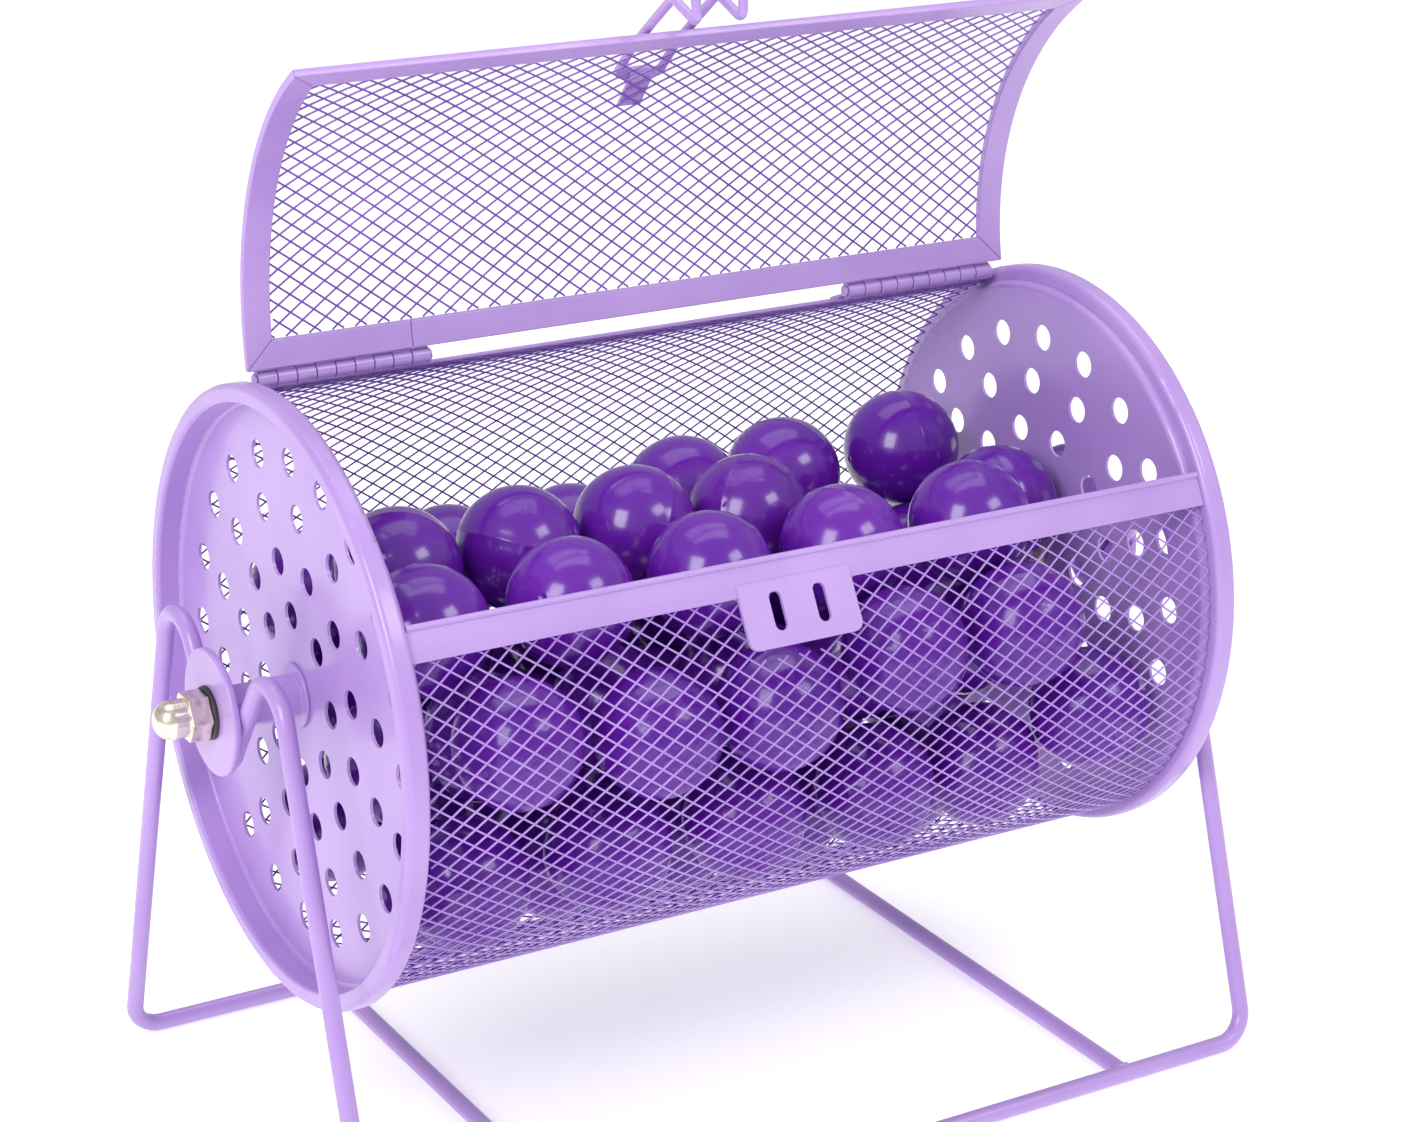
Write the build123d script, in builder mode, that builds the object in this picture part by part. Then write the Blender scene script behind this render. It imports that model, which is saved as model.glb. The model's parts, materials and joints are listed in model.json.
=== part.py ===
"""Bingo cage: a wire stand, a drum of expanded mesh with perforated ends and a hinged lid, a spring-wire
latch, a crank and a load of hollow balls.

Frame: +X along the drum's axis (crank end at +X), -Y is the front, +Z up, z = 0 is the table.
Angles called "clock" are measured about the drum's axis from the front horizontal, upwards over the top.
"""
from build123d import *
from math import cos, degrees, hypot, radians, sin
import os

os.makedirs("parts", exist_ok=True)

# ---------------------------------------------------------------- driving dimensions (mm)
drum_radius = 120.0  # outside of the rolled end beads
rim_centre = 178.5  # distance of each bead's middle from the cage's middle
axle_height = 191.8
mesh_outer = 115.8
mesh_thickness = 1.0
sheet = 1.2  # end plates
strip = 1.6  # rails
lid_frame_thickness = 3.0  # hemmed channel round the lid's mesh
lid_mesh_thickness = 1.4
bead_width = 9.0
bead_height = 5.2
plate_recess = 11.0  # bead's outer end to the plate's outer face

rail_low_clock = 24.6
rail_high_clock = 31.2
tab_centre_x = -18.0
tab_width = 49.0
tab_length = 25.0
slot_spacing = 19.0
slot_width = 5.2
slot_length = 15.0

hinge_clock = 108.0
hinge_radius = 119.4
barrel_radius = 3.3
pin_radius = 1.5
leaf = 1.2
hinge_length = 72.0
hinge_outer_x = 168.0
knuckle_count = 9
lid_open_angle = 85.0  # from shut to the stored, open pose
lid_half_length = 172.4
lid_low_clock = 36.0  # front edge of the shut lid
lid_high_clock = hinge_clock - 1.8
frame_strip = 11.0

rod = 7.0  # stand rod diameter
stand_x = 201.0
foot_y = 121.0
hoop_y = 48.1  # the bend's corner, before rounding, above the axle
hoop_z = 41.7
valley_z = -26.0
hoop_bend = 15.0
valley_bend = 8.0
foot_bend = 13.0
crossbar_left_x = -110.5
crossbar_right_x = 138.0

disc_radius = 24.5
disc_thickness = 3.0
bush_radius = 8.0
flange_radius = 10.3
flange_thickness = 1.6
bolt_radius = 5.0
running_gap = 0.06
hex_flats = 17.0
arm_length = 80.0
arm_thickness = 4.0
arm_width = 20.0
spacer_flats = 16.0

wire = 3.6  # latch wire diameter
ball_radius = 25.0
ball_wall = 1.2

# ---------------------------------------------------------------- worked-out places
rim_end = rim_centre + bead_width / 2
plate_outer_face = rim_end - plate_recess
plate_inner_face = plate_outer_face - sheet
flange_outer = mesh_outer - 1.9
rail_inner = mesh_outer
rail_outer = mesh_outer + strip
half_between_beads = rim_centre - bead_width / 2
disc_inner = stand_x + rod / 2
disc_outer = disc_inner + disc_thickness
floor_rod_z = rod / 2

axle = Vector(0, 0, axle_height)


def at_clock(clock, radius):
    """Y and Z of a point on the drum, from its clock angle and its distance from the axle."""
    a = radians(clock)
    return -radius * cos(a), axle_height + radius * sin(a)


hinge_y, hinge_z = at_clock(hinge_clock, hinge_radius)
hinge_axis = Axis((0, hinge_y, hinge_z), (1, 0, 0))


def side_plane(x):
    """A plane square to the axle at x: its own x runs along +Y and its own y along +Z."""
    return Plane(origin=(x, 0, 0), x_dir=(0, 1, 0), z_dir=(1, 0, 0))


def axle_plane(x, outwards):
    """A plane square to the axle, centred on it at x, whose normal points to +X or -X."""
    return Plane(origin=(x, 0, axle_height), x_dir=(0, 1, 0), z_dir=(outwards, 0, 0))


def opened(shape):
    """The shut lid's piece, swung back about the hinge to the stored pose."""
    return shape.rotate(hinge_axis, -lid_open_angle)


def shell_sector(inner, outer, low, high):
    """Ring sector between two clock angles, drawn on a side plane (call inside a BuildSketch)."""
    points = [at_clock(low, inner), at_clock(low, outer), at_clock(high, outer), at_clock(high, inner)]
    middle = (low + high) / 2
    with BuildLine() as sector:
        Line(points[0], points[1])
        ThreePointArc(points[1], at_clock(middle, outer), points[2])
        Line(points[2], points[3])
        ThreePointArc(points[3], at_clock(middle, inner), points[0])
    make_face(sector.edges())


def strip_clock(width, radius=mesh_outer):
    """How many degrees a width covers along the drum's surface."""
    return degrees(width / radius)


def save(part, name):
    part.label = name
    export_step(part, f"parts/{name}.step")


# ---------------------------------------------------------------- stand
def stand_wire(name, side):
    """One bent rod: floor stub, leg, rounded hoop, valley under the axle, hoop, leg, floor stub."""
    x = side * stand_x
    stub_x = x - side * (foot_bend + 9)
    half = [
        (stub_x, foot_y, floor_rod_z),
        (x, foot_y, floor_rod_z),
        (x, hoop_y, axle_height + hoop_z),
    ]
    front = [(px, -py, pz) for px, py, pz in half]
    route = half + [(x, 0, axle_height + valley_z)] + front[::-1]
    with BuildPart() as stand:
        with BuildLine() as path:
            FilletPolyline(*route, radius=[foot_bend, hoop_bend, valley_bend, hoop_bend, foot_bend])
        with BuildSketch(Plane(origin=route[0], z_dir=(side, 0, 0))):
            Circle(rod / 2)
        sweep(path=path.wires()[0])
    save(stand.part, name)


stand_wire("stand_wire_left", -1)
stand_wire("stand_wire_right", 1)

floor_bar_half = stand_x - foot_bend - 9
for name, y in (("floor_bar_front", -foot_y), ("floor_bar_rear", foot_y)):
    with BuildPart() as floor_bar:
        with BuildSketch(Plane(origin=(-floor_bar_half, y, floor_rod_z), z_dir=(1, 0, 0))):
            Circle(rod / 2)
        extrude(amount=2 * floor_bar_half)
    save(floor_bar.part, name)

# the crossbars lie between the floor bars, a saddle cut in each end
for name, x in (("crossbar_left", crossbar_left_x), ("crossbar_right", crossbar_right_x)):
    with BuildPart() as crossbar:
        with BuildSketch(Plane(origin=(x, -foot_y, floor_rod_z), z_dir=(0, 1, 0))):
            Circle(rod / 2)
        extrude(amount=2 * foot_y)
        for y in (-foot_y, foot_y):
            with BuildSketch(Plane(origin=(x - rod, y, floor_rod_z), z_dir=(1, 0, 0))):
                Circle(rod / 2)
            extrude(amount=2 * rod, mode=Mode.SUBTRACT)
    save(crossbar.part.solids().sort_by(SortBy.VOLUME)[-1], name)

for name, side in (("bearing_disc_left", -1), ("bearing_disc_right", 1)):
    with BuildPart() as disc:
        with BuildSketch(axle_plane(side * disc_inner, side)):
            Circle(disc_radius)
            Circle(bush_radius, mode=Mode.SUBTRACT)
        extrude(amount=disc_thickness)
        rim_edges = disc.edges().filter_by(GeomType.CIRCLE).group_by(SortBy.RADIUS)[-1]
        chamfer(rim_edges, 0.6)
    save(disc.part, name)

for name, side in (("bearing_bush_left", -1), ("bearing_bush_right", 1)):
    with BuildPart() as bush:
        with BuildSketch(axle_plane(side * (disc_inner + 0.2), side)):
            Circle(bush_radius)
        extrude(amount=disc_thickness - 0.2)
        with BuildSketch(axle_plane(side * disc_outer, side)):
            Circle(flange_radius)
        extrude(amount=flange_thickness)
        fillet(bush.edges().group_by(Axis.X)[0 if side < 0 else -1], 0.5)
        with BuildSketch(axle_plane(side * disc_inner, side)):
            Circle(bolt_radius + running_gap)
        extrude(amount=disc_thickness + flange_thickness, mode=Mode.SUBTRACT)
    save(bush.part, name)


# ---------------------------------------------------------------- drum
hole_diameter = 11.0
hole_rings = ((92.0, 20, 0.0), (72.0, 14, 8.0), (51.0, 12, 15.0), (31.0, 8, 5.0))  # radius, count, turn


def end_plate(name, side):
    """A pressed pan: perforated face, flange out to a rolled bead round a wire."""
    bead_base = drum_radius - bead_height
    corner = 3.0
    with BuildPart() as plate:
        with BuildSketch(Plane.XZ):
            with BuildLine():
                # half section: distance from the cage's middle, then distance from the axle
                outline = [
                    (plate_inner_face, 0),
                    (plate_inner_face, flange_outer),
                    (half_between_beads, flange_outer),
                    (half_between_beads, drum_radius),
                    (rim_end, drum_radius),
                    (rim_end, flange_outer - sheet),
                    (plate_outer_face, flange_outer - sheet),
                    (plate_outer_face, 0),
                ]
                placed = [(side * px, axle_height + py) for px, py in outline]
                Polyline(*placed, close=True)
            make_face()
        revolve(axis=Axis((0, 0, axle_height), (1, 0, 0)), revolution_arc=360)
        circles = plate.edges().filter_by(GeomType.CIRCLE)
        bead_edges = [e for e in circles if e.radius > drum_radius - 0.1]
        fillet(bead_edges, bead_height / 2 - 0.1)
        circles = plate.edges().filter_by(GeomType.CIRCLE)
        bend_outside = [e for e in circles if abs(abs(e.center().X) - plate_inner_face) < 0.01]
        bend_inside = [e for e in circles if abs(abs(e.center().X) - plate_outer_face) < 0.01]
        fillet(bend_outside, corner)
        fillet(bend_inside, corner - sheet)
        inner_lip = [
            e
            for e in plate.edges().filter_by(GeomType.CIRCLE)
            if abs(abs(e.center().X) - rim_end) < 0.01 and e.radius < bead_base
        ]
        fillet(inner_lip, 1.5)
        with BuildSketch(axle_plane(side * (plate_inner_face - 1), side)):
            for ring_radius, count, turn in hole_rings:
                with PolarLocations(ring_radius, count, start_angle=turn):
                    Circle(hole_diameter / 2)
            Circle(bolt_radius + 0.3)
        extrude(amount=sheet + 2, mode=Mode.SUBTRACT)
    save(plate.part, name)


end_plate("end_plate_left", -1)
end_plate("end_plate_right", 1)

# rolled mesh wall, from under the front rail, down round the bottom and up to the back rail; its topmost band at
# the front stops on each side of the tab, clear of the latch's points
window_clock = 13.0
window_half = 15.0
wall_end = half_between_beads - 0.2
mesh_top = rail_high_clock - 0.4
mesh_bands = (
    ("drum_mesh", -wall_end, wall_end, hinge_clock + 3.4, 360 + window_clock),
    ("drum_mesh_upper_left", -wall_end, tab_centre_x - window_half, window_clock, mesh_top),
    ("drum_mesh_upper_right", tab_centre_x + window_half, wall_end, window_clock, mesh_top),
)
for name, x_from, x_to, low, high in mesh_bands:
    with BuildPart() as band:
        with BuildSketch(side_plane(x_from)):
            shell_sector(mesh_outer - mesh_thickness, mesh_outer, low, high)
        extrude(amount=x_to - x_from)
    save(band.part, name)

# the front rail: a strip rolled to the drum, its upper edge hemmed, with the latch tab hanging from it
tab_tilt = radians(rail_high_clock - 2.0)
tab_plane = Plane(
    origin=(tab_centre_x, *at_clock(rail_low_clock + 2.2, rail_outer - 1.3)),
    x_dir=(1, 0, 0),
    z_dir=(0, -cos(tab_tilt), sin(tab_tilt)),
)
slot_drop = 11.7  # slot's middle below the tab's root
with BuildPart() as front_rail:
    with BuildSketch(side_plane(-wall_end)):
        shell_sector(rail_inner, rail_outer, rail_low_clock, rail_high_clock)
    extrude(amount=2 * wall_end)
    hem_y, hem_z = at_clock(rail_high_clock - 0.5, rail_outer + 0.2)
    with BuildSketch(side_plane(-wall_end)):
        with Locations((hem_y, hem_z)):
            Circle(1.2)
    extrude(amount=2 * wall_end)
    with BuildSketch(tab_plane) as tab_outline:
        with Locations((0, -tab_length / 2)):
            Rectangle(tab_width, tab_length)
        fillet(tab_outline.vertices().group_by(Axis.Y)[0], 4)
        with Locations((-slot_spacing / 2, -slot_drop), (slot_spacing / 2, -slot_drop)):
            SlotOverall(slot_length, slot_width, rotation=90, mode=Mode.SUBTRACT)
    extrude(amount=strip)
save(front_rail.part, "front_rail")

back_low = hinge_clock + 2.6
with BuildPart() as back_rail:
    with BuildSketch(side_plane(-wall_end)):
        shell_sector(rail_inner, rail_outer, back_low, back_low + strip_clock(frame_strip))
    extrude(amount=2 * wall_end)
save(back_rail.part, "back_rail")

for name, side in (("hex_spacer_left", -1), ("hex_spacer_right", 1)):
    spacer_start = plate_outer_face
    spacer_length = disc_inner - spacer_start - 0.3
    with BuildPart() as spacer:
        with BuildSketch(axle_plane(side * spacer_start, side)):
            RegularPolygon(spacer_flats / 2, 6, major_radius=False, rotation=30)
            Circle(bolt_radius, mode=Mode.SUBTRACT)
        extrude(amount=spacer_length)
        with BuildSketch(axle_plane(side * spacer_start, side)):
            Circle(12.5)
            Circle(bolt_radius, mode=Mode.SUBTRACT)
        extrude(amount=1.5)
    save(spacer.part, name)

washer_thickness = 2.0
with BuildPart() as washers:
    for side in (-1, 1):
        with BuildSketch(axle_plane(side * plate_inner_face, -side)):
            Circle(10.5)
            Circle(bolt_radius, mode=Mode.SUBTRACT)
        extrude(amount=washer_thickness)
save(washers.part, "axle_washers")

head_height = 6.4
nut_start = disc_outer + flange_thickness + 0.3
nut_thread = 7.5  # how far the bolt reaches into its cap nut
for name, side, under_nut in (("axle_bolt_left", -1, 0.0), ("axle_bolt_right", 1, arm_thickness)):
    head_face = plate_inner_face - washer_thickness
    bolt_end = nut_start + under_nut + nut_thread
    with BuildPart() as bolt:
        with BuildSketch(axle_plane(side * head_face, -side)):
            RegularPolygon(hex_flats / 2, 6, major_radius=False)
        extrude(amount=head_height)
        with BuildSketch(axle_plane(side * head_face, side)):
            Circle(bolt_radius)
        extrude(amount=bolt_end - head_face)
        tip = bolt.edges().group_by(Axis.X)[0 if side < 0 else -1]
        chamfer(tip, 1.0)
    save(bolt.part, name)


def acorn_nut(name, start, side):
    """Domed cap nut: chamfered hexagon, short neck and a round dome."""
    hex_height, dome_radius, total = 8.0, 7.4, 20.0
    with BuildPart() as nut:
        with BuildSketch(axle_plane(side * start, side)):
            RegularPolygon(hex_flats / 2, 6, major_radius=False)
        extrude(amount=hex_height)
        with BuildSketch(axle_plane(side * (start + hex_height), side)):
            Circle(dome_radius)
        extrude(amount=total - hex_height)
        far_edge = nut.edges().filter_by(GeomType.CIRCLE).group_by(Axis.X)[0 if side < 0 else -1]
        fillet(far_edge, dome_radius - 0.6)
        with BuildSketch(axle_plane(side * start, side)):
            Circle(bolt_radius)
        extrude(amount=hex_height, mode=Mode.SUBTRACT)
    save(nut.part, name)


acorn_nut("acorn_nut_left", nut_start, -1)

# ---------------------------------------------------------------- hinges
leaf_reach = 9.0
end_play = 0.25


def knuckles(first, x_from):
    """Start and end of every other knuckle along a barrel, from knuckle number first."""
    pitch = hinge_length / knuckle_count
    starts = [x_from + i * pitch for i in range(first, knuckle_count, 2)]
    return [(x + end_play, x + pitch - end_play) for x in starts]


def hinge_leaf(name, x_from, on_lid):
    """A leaf lying on the rail or the lid's strip, with its share of the barrel's knuckles."""
    away = -1 if on_lid else 1
    at_barrel = hinge_clock + away
    clear_of_barrel = hinge_clock + away * 1.9
    far = clear_of_barrel + away * strip_clock(leaf_reach, rail_outer)
    low, high = sorted((at_barrel, far))
    with BuildPart() as hinge:
        with BuildSketch(side_plane(x_from)):
            shell_sector(rail_outer, rail_outer + leaf, *sorted((clear_of_barrel, far)))
        extrude(amount=hinge_length)
        for start, end in knuckles(1 if on_lid else 0, x_from):
            with BuildSketch(side_plane(start)):
                shell_sector(rail_outer, rail_outer + leaf, low, high)
                with Locations((hinge_y, hinge_z)):
                    Circle(barrel_radius)
                with Locations((hinge_y, hinge_z)):
                    Circle(pin_radius + (running_gap if on_lid else 0.0), mode=Mode.SUBTRACT)
            extrude(amount=end - start)
    save(opened(hinge.part) if on_lid else hinge.part, name)


def hinge_pin(name, x_from):
    """The pin, pressed in the lower leaf's knuckles, with a small rivet head at each end."""
    with BuildPart() as pin:
        with BuildSketch(side_plane(x_from - 0.8)):
            with Locations((hinge_y, hinge_z)):
                Circle(pin_radius)
        extrude(amount=hinge_length + 1.6)
        for x in (x_from - 0.8, x_from + hinge_length + 0.1):
            with BuildSketch(side_plane(x)):
                with Locations((hinge_y, hinge_z)):
                    Circle(2.2)
            extrude(amount=0.7)
    save(pin.part, name)


for label, x_from in (("left", -hinge_outer_x), ("right", hinge_outer_x - hinge_length)):
    hinge_leaf(f"hinge_leaf_lower_{label}", x_from, on_lid=False)
    hinge_leaf(f"hinge_leaf_upper_{label}", x_from, on_lid=True)
    hinge_pin(f"hinge_pin_{label}", x_from)

# ---------------------------------------------------------------- lid
seam_x = -104.0  # butt joint in the rear strip
mitre_gap = 0.1
lid_inner = rail_outer - lid_frame_thickness
edge_clock = strip_clock(frame_strip)
rear_low = lid_high_clock - edge_clock
front_high = lid_low_clock + edge_clock


def tangent_plane(clock, radius, x=0.0):
    """A plane touching the drum: its own x along +X, its own y up round the drum, normal outwards."""
    a = radians(clock)
    return Plane(origin=(x, *at_clock(clock, radius)), x_dir=(1, 0, 0), z_dir=(0, -cos(a), sin(a)))


def cut_mitre(end, corner_clock, inwards, keep_lengthwise):
    """Take the 45 degree corner off the open part: end is the lid's end in x, inwards is +1 or -1 round it."""
    side = 1 if end > 0 else -1
    w = frame_strip
    far = w + 4
    gap = mitre_gap / 2
    if keep_lengthwise:
        corners = [(side * gap, -gap), (side * (1 + gap), -gap), (side * 1, far), (-side * far, far)]
    else:
        corners = [(side * 1, -1), (side * 0, 0), (-side * far, far), (-side * far, -1)]
    placed = [(px, inwards * py) for px, py in corners]
    with BuildSketch(tangent_plane(corner_clock, rail_outer, end)) as corner:
        with BuildLine():
            Polyline(*placed, close=True)
        make_face()
    extrude(corner.sketch, amount=2 * lid_frame_thickness, both=True, mode=Mode.SUBTRACT)


def lengthwise_strip(name, x_from, x_to, low, high, outer_clock, mitred_ends):
    """A strip along the lid's front or rear edge."""
    with BuildPart() as bar:
        with BuildSketch(side_plane(x_from)):
            shell_sector(lid_inner, rail_outer, low, high)
        extrude(amount=x_to - x_from)
        for end in mitred_ends:
            cut_mitre(end, outer_clock, 1 if outer_clock == low else -1, keep_lengthwise=True)
    save(opened(bar.part), name)


end = lid_half_length
lengthwise_strip("lid_strip_front", -end, end, lid_low_clock, front_high, lid_low_clock, (-end, end))
short_end = seam_x - mitre_gap / 2
long_end = seam_x + mitre_gap / 2
lengthwise_strip("lid_strip_rear_short", -end, short_end, rear_low, lid_high_clock, lid_high_clock, (-end,))
lengthwise_strip("lid_strip_rear_long", long_end, end, rear_low, lid_high_clock, lid_high_clock, (end,))

for name, side in (("lid_strip_left", -1), ("lid_strip_right", 1)):
    start = -end if side < 0 else end - frame_strip
    with BuildPart() as bar:
        with BuildSketch(side_plane(start)):
            shell_sector(lid_inner, rail_outer, lid_low_clock, lid_high_clock)
        extrude(amount=frame_strip)
        cut_mitre(side * end, lid_low_clock, 1, keep_lengthwise=False)
        cut_mitre(side * end, lid_high_clock, -1, keep_lengthwise=False)
    save(opened(bar.part), name)

lid_mesh_inner = lid_inner + (lid_frame_thickness - lid_mesh_thickness) / 2
lid_mesh_outer = lid_mesh_inner + lid_mesh_thickness
mesh_half = end - frame_strip
with BuildPart() as lid_mesh:
    with BuildSketch(side_plane(-mesh_half)):
        shell_sector(lid_mesh_inner, lid_mesh_outer, front_high, rear_low)
    extrude(amount=2 * mesh_half)
save(opened(lid_mesh.part), "lid_mesh")

# ---------------------------------------------------------------- latch
# The wire's route is given beside the shut lid: t runs down past the lid's front edge, n outwards.
leg_half = slot_spacing / 2
root_clock = lid_low_clock + 17.5
wire_rise = wire / 2 + 0.3
root_radius = rail_outer + wire_rise + 0.3
edge_plane = tangent_plane(lid_low_clock, rail_outer, tab_centre_x)


def latch_point(x, t, n):
    """A point of the wire from its offsets at the shut lid's front edge."""
    return edge_plane.from_local_coords((x, -t, n))


def on_lid(x, clock, radius):
    return Vector(tab_centre_x + x, *at_clock(clock, radius))


over_edge = (1.0, 3.6)
hoop = (19.5, 5.5)
point_of_v = (31.5, -9.5)
loop_end = (43.0, 15.0)
loop_half = leg_half + 1.5
weld_gap = 0.2
latch_half = [
    on_lid(weld_gap, root_clock, root_radius),
    on_lid(leg_half, root_clock, root_radius),
    on_lid(leg_half, lid_low_clock + 9.0, root_radius + 0.4),
    latch_point(leg_half, *over_edge),
    latch_point(leg_half, *hoop),
    latch_point(leg_half, *point_of_v),
    latch_point(loop_half, *loop_end),
]
mirrored_half = [Vector(2 * tab_centre_x - p.X, p.Y, p.Z) for p in latch_half]
half_bends = [4.0, 60.0, 14.0, 3.6, 2.2, 4.5]
latch_route = latch_half + mirrored_half[::-1]
with BuildPart() as latch_wire:
    with BuildLine() as latch_path:
        FilletPolyline(*latch_route, radius=half_bends + half_bends[::-1])
    with BuildSketch(Plane(origin=latch_route[0], z_dir=(1, 0, 0))):
        Circle(wire / 2)
    sweep(path=latch_path.wires()[0])
save(opened(latch_wire.part), "latch_wire")

root_y, root_z = at_clock(root_clock, root_radius)
keeper_width = 10.0
keeper_ring = wire / 2 + 1.2
with BuildPart() as keeper:
    with BuildSketch(side_plane(tab_centre_x - keeper_width / 2)):
        shell_sector(lid_mesh_outer + 0.05, lid_mesh_outer + 1.25, root_clock, root_clock + 7.0)
        with Locations((root_y, root_z)):
            Circle(keeper_ring)
        with Locations((root_y, root_z)):
            Circle(wire / 2 + running_gap, mode=Mode.SUBTRACT)
    extrude(amount=keeper_width)
save(opened(keeper.part), "latch_keeper")

# ---------------------------------------------------------------- crank
grip_length = 42.0
grip_start = nut_start + arm_thickness + 0.5
rivet_radius = 3.0
with BuildPart() as crank_arm:
    with BuildSketch(axle_plane(nut_start, 1)):
        with Locations((arm_length / 2, 0)):
            SlotCenterToCenter(arm_length, arm_width)
        Circle(bolt_radius, mode=Mode.SUBTRACT)
        with Locations((arm_length, 0)):
            Circle(rivet_radius, mode=Mode.SUBTRACT)
    extrude(amount=arm_thickness)
    chamfer(crank_arm.edges().filter_by(Plane.YZ).group_by(Axis.X)[-1].sort_by(SortBy.LENGTH)[-2:], 0.6)
save(crank_arm.part, "crank_arm")
acorn_nut("acorn_nut_right", nut_start + arm_thickness, 1)

grip_plane = Plane(origin=(grip_start, arm_length, axle_height), x_dir=(0, 1, 0), z_dir=(1, 0, 0))
with BuildPart() as grip:
    with BuildSketch(Plane(origin=grip_plane.origin, x_dir=(1, 0, 0), z_dir=(0, -1, 0))):
        with BuildLine():
            Line((0, 0), (0, 8.0))
            Spline((0, 8.0), (9, 10.6), (22, 9.6), (34, 11.2), (grip_length, 7.0))
            Line((grip_length, 7.0), (grip_length, 0))
            Line((grip_length, 0), (0, 0))
        make_face()
    revolve(axis=Axis(grip_plane.origin, (1, 0, 0)), revolution_arc=360)
    with BuildSketch(grip_plane):
        Circle(rivet_radius + running_gap)
    extrude(amount=grip_length, mode=Mode.SUBTRACT)
save(grip.part, "crank_grip")

with BuildPart() as rivet:
    with BuildSketch(grip_plane.offset(-(arm_thickness + 0.5))):
        Circle(rivet_radius)
    extrude(amount=grip_length + arm_thickness + 1.0)
    for offset, amount in ((grip_length + 0.4, 2.2), (-(arm_thickness + 0.5), -1.2)):
        with BuildSketch(grip_plane.offset(offset)):
            Circle(5.2)
        extrude(amount=amount)
    fillet(rivet.edges().group_by(Axis.X)[-1], 1.6)
save(rivet.part, "grip_rivet")

# ---------------------------------------------------------------- balls
# Rows along the drum: (y, z above the axle, first x, pitch, how many)
ball_rows = (
    (-84, -8, -63, 53, 2),
    (-84, 5, 47, 56, 2),
    (-82, -1, -121, 0, 1),
    (-82, -52, 145, 0, 1),
    (-62, -64, -133, 61, 5),
    (-46, 35, -140, 61, 5),
    (10, 38, -124, 52, 3),
    (8, 34, 31, 0, 1),
    (-9, 25, 145, 0, 1),
    (64, 24, 29, 55, 2),
    (47, 22, 134, 0, 1),
    (80, 8, -130, 62, 3),
    (-10, -86, -122, 54, 5),
    (43, -75, -140, 56, 6),
    (76, -40, -120, 57, 5),
    (-34, -18, -110, 55, 5),
    (10, -38, -130, 58, 5),
    (30, -6, -100, 56, 5),
)
ball_gap = 0.4
wall_limit = 112.0 - ball_radius
end_limit = plate_inner_face - ball_radius - 0.3
bolt_head_x = plate_inner_face - washer_thickness
v_points = [latch_point(side * leg_half, *point_of_v) - axle for side in (-1, 1)]
obstacles = [(Vector(side * bolt_head_x, 0, 0), ball_radius + 11.5) for side in (-1, 1)]
obstacles += [(point, ball_radius + wire / 2 + 1.5) for point in v_points]


def settle(centres, rounds=600):
    """Ease overlapping balls apart, and away from the drum's wall, ends, bolt heads and latch."""
    for _ in range(rounds):
        for i, a in enumerate(centres):
            for j in range(i):
                b = centres[j]
                gap = a - b
                overlap = 2 * ball_radius + ball_gap - gap.length
                if overlap > 0:
                    push = gap.normalized() * (overlap / 2)
                    a = a + push
                    centres[j] = b - push
            for point, distance in obstacles:
                gap = a - point
                if gap.length < distance:
                    a = point + gap.normalized() * distance
            radius = hypot(a.Y, a.Z)
            shrink = min(1.0, wall_limit / radius)
            centres[i] = Vector(max(-end_limit, min(end_limit, a.X)), a.Y * shrink, a.Z * shrink)
    return centres


centres = settle([Vector(x0 + i * pitch, y, z) for y, z, x0, pitch, count in ball_rows for i in range(count)])
with BuildPart() as balls:
    with Locations(*[axle + c for c in centres]):
        Sphere(ball_radius)
        Sphere(ball_radius - ball_wall, mode=Mode.SUBTRACT)
save(balls.part, "balls")
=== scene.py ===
"""Looks of the bingo cage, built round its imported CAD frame.

Frame: metres, +X along the drum's axle (crank end), -Y the front, +Z up, z = 0 the table.
Angles called "clock" are measured about the axle from the front horizontal, upwards over the top.
"""
import json
import random
from math import atan2, ceil, cos, degrees, hypot, pi, radians, sin

import bmesh
import bpy
import numpy as np
from mathutils import Euler, Matrix, Vector


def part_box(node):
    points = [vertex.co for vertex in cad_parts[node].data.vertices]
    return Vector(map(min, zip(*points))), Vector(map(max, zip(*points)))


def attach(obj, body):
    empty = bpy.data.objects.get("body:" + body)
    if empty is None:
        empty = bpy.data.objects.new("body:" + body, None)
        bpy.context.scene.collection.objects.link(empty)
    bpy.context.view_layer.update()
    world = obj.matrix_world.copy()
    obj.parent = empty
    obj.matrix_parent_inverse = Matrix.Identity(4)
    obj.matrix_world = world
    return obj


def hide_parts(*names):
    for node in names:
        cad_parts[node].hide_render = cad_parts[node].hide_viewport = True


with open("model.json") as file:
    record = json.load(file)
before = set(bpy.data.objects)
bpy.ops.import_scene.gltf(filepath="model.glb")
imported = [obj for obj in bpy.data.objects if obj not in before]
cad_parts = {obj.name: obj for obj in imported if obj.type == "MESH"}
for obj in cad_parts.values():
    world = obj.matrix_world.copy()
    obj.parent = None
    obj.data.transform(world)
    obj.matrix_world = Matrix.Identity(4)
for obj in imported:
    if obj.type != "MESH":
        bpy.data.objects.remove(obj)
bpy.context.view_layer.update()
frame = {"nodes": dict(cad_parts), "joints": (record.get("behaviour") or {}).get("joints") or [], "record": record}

MM = 0.001
scene = bpy.context.scene
random.seed(7)


# ---------------------------------------------------------------- places read from the frame
def joint(name):
    return next(j for j in frame["joints"] if j["name"] == name)


def middle(node):
    low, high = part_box(node)
    return (low + high) / 2


axle = Vector(joint("drum_spin")["pos_m"])
hinge = Vector(joint("lid_hinge")["pos_m"])
lid_swing = radians(joint("lid_hinge")["range_deg"][1])  # from the open lid to the shut one
tab_x = joint("latch_pull")["pos_m"][0]

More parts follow.
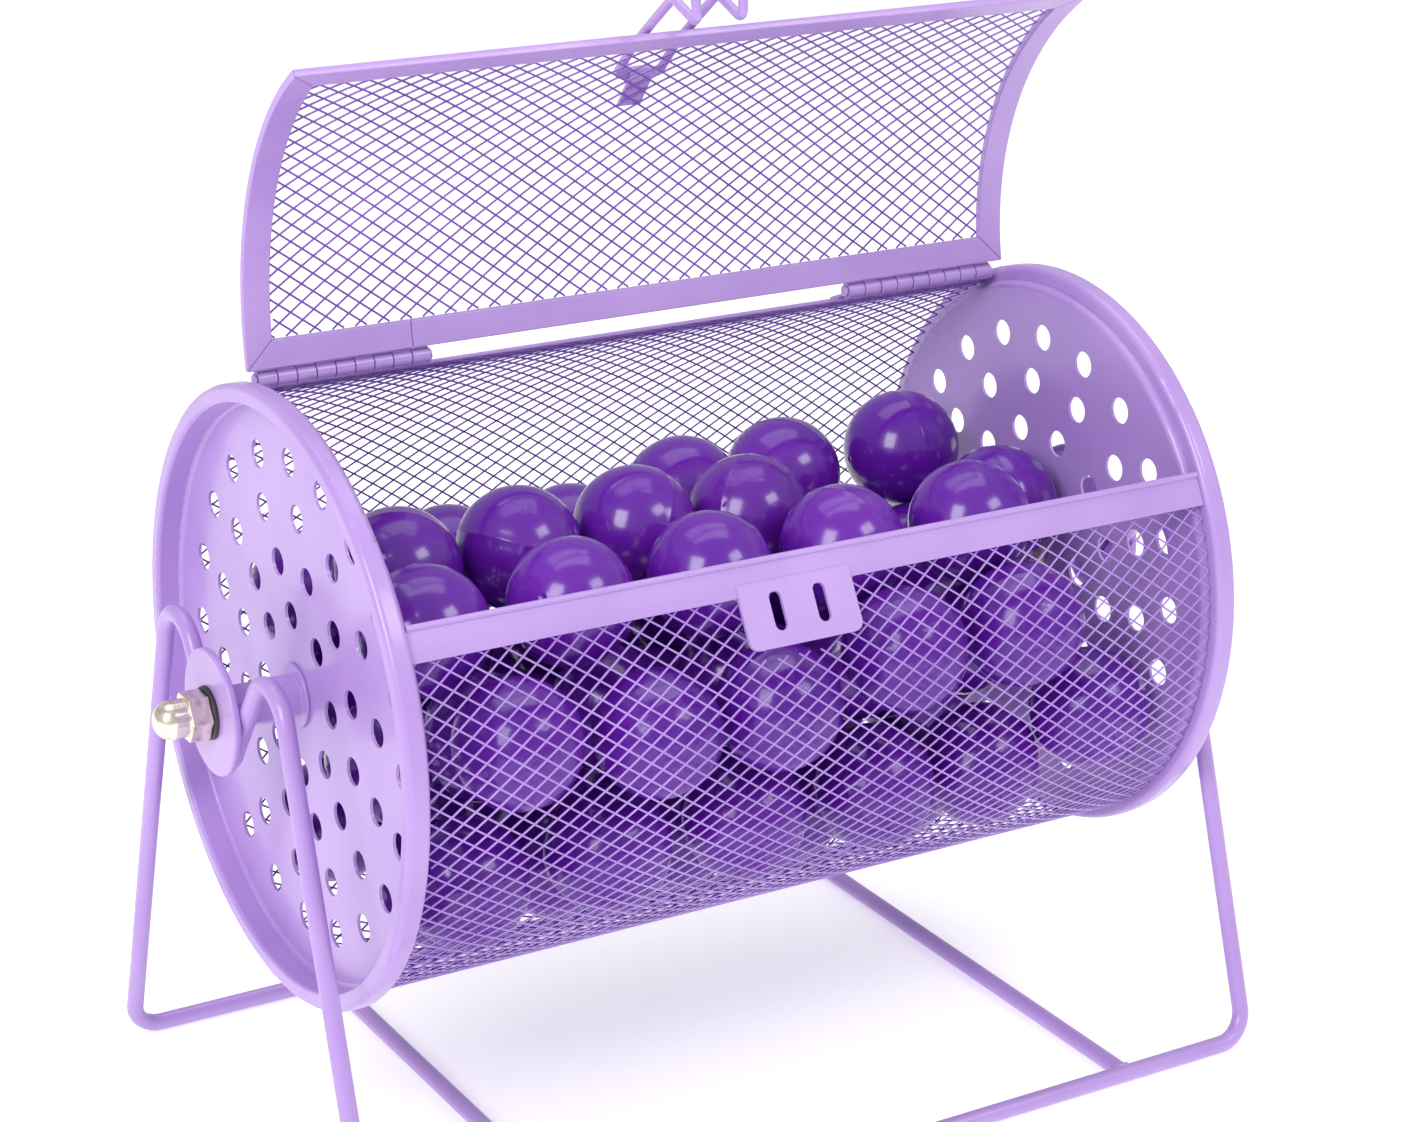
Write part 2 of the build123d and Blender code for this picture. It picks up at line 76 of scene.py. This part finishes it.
mesh_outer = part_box("drum_mesh")[1].y
wall_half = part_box("drum_mesh")[1].x
rod_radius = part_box("floor_bar_front")[1].z / 2
foot_y = middle("floor_bar_rear").y
ball_radius = 25 * MM


def at_clock(clock, radius):
    """Y and Z of a point on the drum."""
    a = radians(clock)
    return axle.y - radius * cos(a), axle.z + radius * sin(a)


def clock_of(y, z):
    return degrees(atan2(z - axle.z, axle.y - y))


def swing_open(point):
    """Carries a point of the shut lid to the open pose of the frame."""
    arm = Matrix.Rotation(-lid_swing, 4, "X") @ (Vector(point) - hinge)
    return arm + hinge


def swing_shut(point):
    arm = Matrix.Rotation(lid_swing, 4, "X") @ (Vector(point) - hinge)
    return arm + hinge


# ---------------------------------------------------------------- materials
def new_material(name):
    material = bpy.data.materials.new(name)
    material.use_nodes = True
    tree = material.node_tree
    return material, tree, tree.nodes["Principled BSDF"]


def noise(tree, scale, detail=3.0, roughness=0.5, source="Object"):
    coords = tree.nodes.new("ShaderNodeTexCoord")
    texture = tree.nodes.new("ShaderNodeTexNoise")
    texture.inputs["Scale"].default_value = scale
    texture.inputs["Detail"].default_value = detail
    texture.inputs["Roughness"].default_value = roughness
    tree.links.new(coords.outputs[source], texture.inputs["Vector"])
    return texture.outputs["Fac"]


def ramp(tree, value, stops):
    """A colour ramp over a value; stops are (position, colour)."""
    node = tree.nodes.new("ShaderNodeValToRGB")
    elements = node.color_ramp.elements
    while len(elements) < len(stops):
        elements.new(0.5)
    for element, (position, colour) in zip(elements, stops):
        element.position = position
        element.color = (*colour, 1)
    tree.links.new(value, node.inputs["Fac"])
    return node.outputs["Color"]


def spread(tree, value, low, high):
    node = tree.nodes.new("ShaderNodeMapRange")
    node.inputs["To Min"].default_value = low
    node.inputs["To Max"].default_value = high
    tree.links.new(value, node.inputs["Value"])
    return node.outputs["Result"]


def bump(tree, shader, height, strength, distance):
    node = tree.nodes.new("ShaderNodeBump")
    node.inputs["Strength"].default_value = strength
    node.inputs["Distance"].default_value = distance
    tree.links.new(height, node.inputs["Height"])
    tree.links.new(node.outputs["Normal"], shader.inputs["Normal"])


def powder_coat(name, dark, light):
    """Gloss powder coat: cloudy colour, orange peel and uneven gloss."""
    material, tree, shader = new_material(name)
    clouds = noise(tree, 18.0, detail=4.0)
    tree.links.new(ramp(tree, clouds, ((0.3, dark), (0.7, light))), shader.inputs["Base Color"])
    tree.links.new(spread(tree, noise(tree, 60.0), 0.24, 0.42), shader.inputs["Roughness"])
    shader.inputs["Coat Weight"].default_value = 0.35
    shader.inputs["Coat Roughness"].default_value = 0.12
    bump(tree, shader, noise(tree, 420.0, detail=1.5), 0.06, 0.0004)
    return material


def ball_plastic():
    """Polished violet plastic with faint flow clouds and fine scuffs."""
    material, tree, shader = new_material("ball_plastic")
    clouds = noise(tree, 14.0, detail=2.0)
    stops = ((0.25, (0.092, 0.006, 0.290)), (0.75, (0.160, 0.013, 0.410)))
    tree.links.new(ramp(tree, clouds, stops), shader.inputs["Base Color"])
    tree.links.new(spread(tree, noise(tree, 130.0, detail=5.0), 0.13, 0.27), shader.inputs["Roughness"])
    shader.inputs["Coat Weight"].default_value = 0.25
    shader.inputs["Coat Roughness"].default_value = 0.06
    shader.inputs["Subsurface Weight"].default_value = 0.12
    shader.inputs["Subsurface Radius"].default_value = (0.004, 0.001, 0.008)
    shader.inputs["Subsurface Scale"].default_value = 0.5
    bump(tree, shader, noise(tree, 55.0, detail=2.0), 0.05, 0.0006)
    return material


def nickel_plate():
    """Warm nickel with small stains, worn gloss and a fine bump."""
    material, tree, shader = new_material("nickel_plate")
    stains = noise(tree, 240.0, detail=6.0, roughness=0.65)
    stops = ((0.30, (0.58, 0.50, 0.37)), (0.52, (0.88, 0.82, 0.69)), (0.8, (0.93, 0.89, 0.80)))
    tree.links.new(ramp(tree, stains, stops), shader.inputs["Base Color"])
    tree.links.new(spread(tree, noise(tree, 500.0, detail=4.0), 0.14, 0.34), shader.inputs["Roughness"])
    shader.inputs["Metallic"].default_value = 1.0
    bump(tree, shader, noise(tree, 900.0, detail=3.0), 0.08, 0.0002)
    return material


def moulded(name, dark, light, roughness):
    """Moulded plastic with a fine grain."""
    material, tree, shader = new_material(name)
    tree.links.new(ramp(tree, noise(tree, 70.0), ((0.3, dark), (0.7, light))), shader.inputs["Base Color"])
    low, high = roughness
    tree.links.new(spread(tree, noise(tree, 260.0), low, high), shader.inputs["Roughness"])
    bump(tree, shader, noise(tree, 800.0, detail=2.0), 0.15, 0.0003)
    return material


def floor_paper():
    material, tree, shader = new_material("floor_paper")
    stops = ((0.3, (0.90, 0.90, 0.905)), (0.7, (0.94, 0.94, 0.945)))
    tree.links.new(ramp(tree, noise(tree, 1.5), stops), shader.inputs["Base Color"])
    shader.inputs["Roughness"].default_value = 0.9
    shader.inputs["Specular IOR Level"].default_value = 0.1
    shader.inputs["Emission Color"].default_value = (1.0, 1.0, 1.0, 1)
    shader.inputs["Emission Strength"].default_value = 0.40
    return material


lavender = powder_coat("lavender_paint", (0.405, 0.250, 0.620), (0.470, 0.305, 0.680))
strand_out = powder_coat("strand_paint_outside", (0.32, 0.17, 0.58), (0.46, 0.28, 0.74))
# the inside copy is the same paint made darker: painted shade for the drum's interior
strand_painted_shade = powder_coat("strand_inside_painted_shade", (0.13, 0.040, 0.36), (0.21, 0.080, 0.49))
violet = ball_plastic()
nickel = nickel_plate()
black_nylon = moulded("black_nylon", (0.018, 0.016, 0.02), (0.035, 0.032, 0.04), (0.4, 0.6))
grip_plastic = moulded("grip_plastic", (0.05, 0.008, 0.20), (0.085, 0.014, 0.28), (0.2, 0.36))

finish_of_slot = {
    "lavender_paint": lavender,
    "mesh_paint": strand_out,
    "violet_plastic": violet,
    "nickel": nickel,
    "black_nylon": black_nylon,
    "grip_plastic": grip_plastic,
}
slot_of_node = {p["node"]: p["material_slot"] for p in frame["record"]["subparts"]}
body_of_node = {n: body for body, nodes in frame["record"]["behaviour"]["bodies"].items() for n in nodes}


# ---------------------------------------------------------------- helpers for pieces
def make_piece(name, bm, materials, body, smooth_angle=35.0):
    """Turns a bmesh into a named piece that rides on a body, smooth except at sharp edges."""
    for face in bm.faces:
        face.smooth = True
    for edge in bm.edges:
        if len(edge.link_faces) == 2 and edge.calc_face_angle(0.0) > radians(smooth_angle):
            edge.smooth = False
    mesh = bpy.data.meshes.new(name)
    bm.to_mesh(mesh)
    bm.free()
    for material in materials:
        mesh.materials.append(material)
    piece = bpy.data.objects.new(name, mesh)
    scene.collection.objects.link(piece)
    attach(piece, body)
    return piece


def finish_cad_nodes():
    """Every CAD node takes the finish of its slot."""
    for name, node in frame["nodes"].items():
        node.data.materials.clear()
        node.data.materials.append(finish_of_slot[slot_of_node[name]])


def softened(node, width, segments=2, angle=30.0):
    """A copy of a CAD node with its hard edges rounded, as paint rounds them, that stands for the node."""
    bm = bmesh.new()
    bm.from_mesh(frame["nodes"][node].data)
    bmesh.ops.remove_doubles(bm, verts=bm.verts, dist=2e-6)
    bmesh.ops.dissolve_limit(bm, angle_limit=radians(0.6), verts=bm.verts, edges=bm.edges)
    sharp = [e for e in bm.edges if len(e.link_faces) == 2 and e.calc_face_angle(0.0) > radians(angle)]
    bmesh.ops.bevel(
        bm,
        geom=sharp,
        offset=width,
        segments=segments,
        profile=0.5,
        affect="EDGES",
        clamp_overlap=True,
    )
    bmesh.ops.remove_doubles(bm, verts=bm.verts, dist=2e-6)
    bmesh.ops.dissolve_degenerate(bm, edges=bm.edges, dist=1e-6)
    piece = make_piece(f"{node}.soft", bm, [finish_of_slot[slot_of_node[node]]], body_of_node[node])
    favour_large_faces(piece.data)
    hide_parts(node)
    return piece


def favour_large_faces(mesh):
    """Vertex normals weighted by area, so that flats stay flat beside their rounded edges."""
    sums = [Vector() for _ in mesh.vertices]
    for face in mesh.polygons:
        for index in face.vertices:
            sums[index] += face.normal * face.area
    mesh.normals_split_custom_set_from_vertices([total.normalized() for total in sums])


def tube(bm, points, radius, sides=8, closed=False, material=0, phase=0.0):
    """Sweeps a round section along points; returns its rings of vertices."""
    count = len(points)
    rings = []
    side = None
    for i, point in enumerate(points):
        before = points[(i - 1) % count] if closed or i else point
        after = points[(i + 1) % count] if closed or i < count - 1 else point
        along = (after - before).normalized()
        if side is None:
            side = along.orthogonal().normalized()
        side = (side - along * side.dot(along)).normalized()
        up = along.cross(side)
        size = radius(i) if callable(radius) else radius
        ring = []
        for k in range(sides):
            a = 2 * pi * k / sides + phase
            ring.append(bm.verts.new(point + (side * cos(a) + up * sin(a)) * size))
        rings.append(ring)
    last = count if closed else count - 1
    for i in range(last):
        a, b = rings[i], rings[(i + 1) % count]
        for k in range(sides):
            face = bm.faces.new((a[k], a[(k + 1) % sides], b[(k + 1) % sides], b[k]))
            face.material_index = material
    if not closed:
        bm.faces.new(rings[0][::-1]).material_index = material
        bm.faces.new(rings[-1]).material_index = material
    return rings


# ---------------------------------------------------------------- rounded edges
def soften_painted_edges():
    """Rounds the hard edges of the strips, hinges, spacers, discs, nuts and crank."""
    for lid_part in ("front", "rear_short", "rear_long", "left", "right"):
        softened(f"lid_strip_{lid_part}", 0.55 * MM)
    softened("front_rail", 0.4 * MM)
    softened("back_rail", 0.4 * MM)
    for end in ("left", "right"):
        softened(f"hex_spacer_{end}", 0.5 * MM)
        softened(f"bearing_disc_{end}", 0.5 * MM)
        softened(f"acorn_nut_{end}", 0.35 * MM)
        softened(f"hinge_leaf_lower_{end}", 0.25 * MM)
        softened(f"hinge_leaf_upper_{end}", 0.25 * MM)
    softened("latch_keeper", 0.3 * MM)
    softened("crank_arm", 0.5 * MM)


# ---------------------------------------------------------------- expanded mesh
diamond_length = 9.5 * MM  # along the drum
diamond_width = 7.0 * MM  # round the drum
strand_across = 0.42 * MM  # half the strand's size in the sheet
strand_deep = 0.40 * MM  # half its size through the sheet
strand_sides = 5


def strand_section(bm, x, clock, radius, run, carry):
    """One ring of a strand; run is +1 or -1, the way it climbs as x grows."""
    lean = run * atan2(diamond_width, diamond_length)
    ring = []
    for k in range(strand_sides):
        a = 2 * pi * (k + 0.5) / strand_sides + pi / 2
        across = strand_across * cos(a)
        deep = strand_deep * sin(a)
        y, z = at_clock(clock + degrees(across * cos(lean) / radius), radius + deep)
        ring.append(bm.verts.new(carry((x - across * sin(lean), y, z))))
    return ring


def join_rings(bm, a, b, outward):
    """Faces between two rings of a strand: outward sides in the strand paint, inward sides in its darker copy,
    which is painted shade.
    """
    for k in range(strand_sides):
        n = (k + 1) % strand_sides
        face = bm.faces.new((a[k], a[n], b[n], b[k]))
        face.material_index = 0 if outward[k] else 1


def expanded_mesh(bm, x_from, x_to, clock_from, clock_to, radius, carry, hole=None):
    """Both families of strands over a patch of the drum; hole(x, clock) says where there is none."""
    arc = radians(clock_to - clock_from) * radius
    steps_per_cell = 4
    step_x = diamond_length / steps_per_cell
    step_s = diamond_width / steps_per_cell
    # sides that face into the drum take the darker copy of the paint, which is painted shade
    outward = [sin(2 * pi * (k + 1.0) / strand_sides + pi / 2) > -0.35 for k in range(strand_sides)]
    for run in (1, -1):
        cells = ceil((x_to - x_from) / diamond_length) + ceil(arc / diamond_width) + 1
        for i in range(cells):
            # where this strand meets the patch's lower edge, in cells from x_from, may lie outside it
            start = (i - ceil(arc / diamond_width)) if run > 0 else i
            ring_before = None
            total = int(arc / step_s)
            for j in range(total + 1):
                s = j * step_s
                x = x_from + start * diamond_length + run * j * step_x
                # strands flatten towards the crossings, as expanded metal's do
                phase = 2 * pi * j / (steps_per_cell / 2)
                x += run * 0.35 * MM * sin(phase)
                clock = clock_from + degrees(s / radius)
                inside = x_from <= x <= x_to and not (hole and hole(x, clock))
                if not inside:
                    ring_before = None
                    continue
                ring = strand_section(bm, x, clock, radius, run, carry)
                if ring_before:
                    join_rings(bm, ring_before, ring, outward)
                ring_before = ring


def drum_mesh_pieces():
    """The drum's rolled mesh in three bands, low front, bottom and rear, so that no piece is too heavy."""
    rear = min(clock_of(v.co.y, v.co.z) for v in frame["nodes"]["back_rail"].data.vertices) + 0.8
    radius = mesh_outer - 0.5 * MM
    tab_half = 15 * MM
    bottom_from, front_from = 200.0, 290.0  # clocks where the bands meet
    window_low = 373.0  # the open patch behind the tab starts here
    under_rail = 389.5

    def behind_tab(x, clock):
        return abs(x - tab_x) < tab_half and window_low < clock

    bands = (
        ("rear", rear, bottom_from),
        ("bottom", bottom_from, front_from),
        ("front", front_from, under_rail),
    )
    for label, low, high in bands:
        bm = bmesh.new()
        hole = behind_tab if label == "front" else None
        expanded_mesh(bm, -wall_half, wall_half, low, high, radius, Vector, hole)
        piece = make_piece(f"drum_mesh_{label}", bm, [strand_out, strand_painted_shade], "drum", 80)
    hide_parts("drum_mesh")
    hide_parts("drum_mesh_upper_left", "drum_mesh_upper_right")


def lid_mesh_piece():
    low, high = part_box("lid_mesh")
    shut = [swing_shut(v.co) for v in frame["nodes"]["lid_mesh"].data.vertices]
    clocks = [clock_of(p.y, p.z) for p in shut]
    radii = [hypot(p.y - axle.y, p.z - axle.z) for p in shut]
    radius = (min(radii) + max(radii)) / 2
    bm = bmesh.new()
    overlap = 0.6  # degrees that the mesh reaches under its frame
    expanded_mesh(
        bm,
        low.x - 1 * MM,
        high.x + 1 * MM,
        min(clocks) - overlap,
        max(clocks) + overlap,
        radius,
        swing_open,
    )
    piece = make_piece("lid_mesh_strands", bm, [strand_out, strand_painted_shade], "lid", 80)
    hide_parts("lid_mesh")


# ---------------------------------------------------------------- balls
def ball_centres():
    """The middles of the CAD balls, from the separate shells of their node."""
    mesh = frame["nodes"]["balls"].data
    places = np.zeros(len(mesh.vertices) * 3)
    mesh.vertices.foreach_get("co", places)
    places = places.reshape(-1, 3)
    pairs = np.zeros(len(mesh.edges) * 2, int)
    mesh.edges.foreach_get("vertices", pairs)
    a, b = pairs.reshape(-1, 2).T
    label = np.arange(len(places))
    while True:
        low = np.minimum(label[a], label[b])
        after = label.copy()
        np.minimum.at(after, a, low)
        np.minimum.at(after, b, low)
        after = after[after]
        if (after == label).all():
            break
        label = after
    centres = {}
    for island in np.unique(label):
        shell = places[label == island]
        centre = (shell.min(0) + shell.max(0)) / 2
        if np.ptp(shell[:, 0]) > 1.9 * ball_radius:
            centres[tuple(np.round(centre, 3))] = Vector(centre)
    return [centres[key] for key in sorted(centres)]


def ball_profile():
    """Polar angle and radius from one pole to the other: gate mark, body, seam ridge, body, vent ring."""
    ridge = 0.14 * MM
    gate = [(0.0, -0.25), (2.6, -0.25), (3.3, 0.05), (4.4, 0.0)]
    body = [(a, 0.0) for a in range(11, 86, 8)]
    seam = [(88.4, 0.0), (89.4, ridge / MM), (90.6, ridge / MM), (91.6, 0.0)]
    lower = [(180 - a, 0.0) for a in range(83, 10, -8)]
    vent = [(174.0, 0.0), (175.2, 0.06), (176.6, 0.0), (180.0, 0.0)]
    return [(radians(a), ball_radius + offset * MM) for a, offset in gate + body + seam + lower + vent]


def add_ball(bm, centre, turn, profile, sides=44):
    rings = []
    for angle, radius in profile:
        if angle < 1e-6 or angle > pi - 1e-6:
            rings.append([bm.verts.new(centre + turn @ Vector((0, 0, radius * cos(angle))))])
            continue
        ring = []
        for k in range(sides):
            a = 2 * pi * k / sides
            local = Vector((sin(angle) * cos(a), sin(angle) * sin(a), cos(angle))) * radius
            ring.append(bm.verts.new(centre + turn @ local))
        rings.append(ring)
    for a, b in zip(rings, rings[1:]):
        for k in range(sides):
            n = (k + 1) % sides
            if len(a) == 1:
                bm.faces.new((a[0], b[k], b[n]))
            elif len(b) == 1:
                bm.faces.new((a[k], b[0], a[n]))
            else:
                bm.faces.new((a[k], b[k], b[n], a[n]))


def ball_load():
    """All the balls in two pieces, each ball turned its own way."""
    profile = ball_profile()
    centres = ball_centres()
    half = len(centres) // 2
    for label, share in (("left", centres[:half]), ("right", centres[half:])):
        bm = bmesh.new()
        for centre in share:
            angles = [random.uniform(0, 2 * pi) for _ in range(3)]
            add_ball(bm, centre, Euler(angles).to_matrix(), profile)
        piece = make_piece(f"balls_{label}", bm, [violet], "balls", 60)
        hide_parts("balls")


# ---------------------------------------------------------------- stand details
def weld_bead(bm, points, size):
    """A small uneven bead of weld under the paint."""
    wander = [1 + 0.12 * sin(2.3 * i) for i in range(len(points))]
    tube(bm, points, lambda i: size * wander[i], sides=8, closed=True)


def crossbar_welds():
    """A bead round each end of the two crossbars, where they saddle the floor bars."""
    steps = 24
    for label in ("left", "right"):
        x = middle(f"crossbar_{label}").x
        bm = bmesh.new()
        for side in (-1, 1):
            points = []
            for i in range(steps):
                a = 2 * pi * i / steps
                inwards = rod_radius * abs(cos(a)) + 0.2 * MM
                height = rod_radius + (rod_radius + 0.1 * MM) * sin(a)
                y = side * (foot_y - inwards)
                points.append(Vector((x + (rod_radius + 0.1 * MM) * cos(a), y, max(height, 1.0 * MM))))
            weld_bead(bm, points, 0.8 * MM)
        piece = make_piece(f"crossbar_weld_{label}", bm, [lavender], "stand", 60)


# ---------------------------------------------------------------- stage, light and camera
def stage_floor():
    bm = bmesh.new()
    bmesh.ops.create_grid(bm, x_segments=8, y_segments=8, size=9.0)
    mesh = bpy.data.meshes.new("floor")
    bm.to_mesh(mesh)
    bm.free()
    mesh.materials.append(floor_paper())
    floor = bpy.data.objects.new("floor", mesh)
    scene.collection.objects.link(floor)


def soft_box(name, place, target, size, power):
    data = bpy.data.lights.new(name, "AREA")
    data.shape = "RECTANGLE"
    data.size, data.size_y = size
    data.energy = power
    light = bpy.data.objects.new(name, data)
    light.location = place
    light.rotation_euler = (Vector(target) - Vector(place)).to_track_quat("-Z", "Y").to_euler()
    scene.collection.objects.link(light)


def studio_light():
    world = bpy.data.worlds.new("studio")
    world.use_nodes = True
    background = world.node_tree.nodes["Background"]
    background.inputs["Color"].default_value = (1.0, 1.0, 1.0, 1)
    background.inputs["Strength"].default_value = 0.58
    scene.world = world
    target = (0, 0, 0.2)
    soft_box("key", (0.9, -1.5, 1.7), target, (0.9, 0.6), 11)
    soft_box("window", (-1.5, -0.9, 1.3), target, (0.8, 1.1), 21)
    soft_box("top", (0.1, 0.4, 2.0), target, (1.8, 1.2), 12)


def photo_camera():
    turn, tilt, roll = radians(30.70), radians(19.60), radians(0.29)
    data = bpy.data.cameras.new("camera")
    data.sensor_width = 36.0
    data.lens = 83.18
    data.clip_end = 50
    forward = Vector((sin(turn) * cos(tilt), cos(turn) * cos(tilt), -sin(tilt)))
    camera = bpy.data.objects.new("camera", data)
    aim = forward.to_track_quat("-Z", "Y").to_matrix()
    camera.rotation_euler = (aim @ Matrix.Rotation(roll, 3, "Z")).to_euler()
    camera.location = axle + Vector((-0.6203, -1.0533, 0.4584))
    scene.collection.objects.link(camera)
    scene.camera = camera


# ---------------------------------------------------------------- build
finish_cad_nodes()
soften_painted_edges()
drum_mesh_pieces()
lid_mesh_piece()
ball_load()
crossbar_welds()
stage_floor()
studio_light()
photo_camera()
scene.view_settings.view_transform = "Standard"
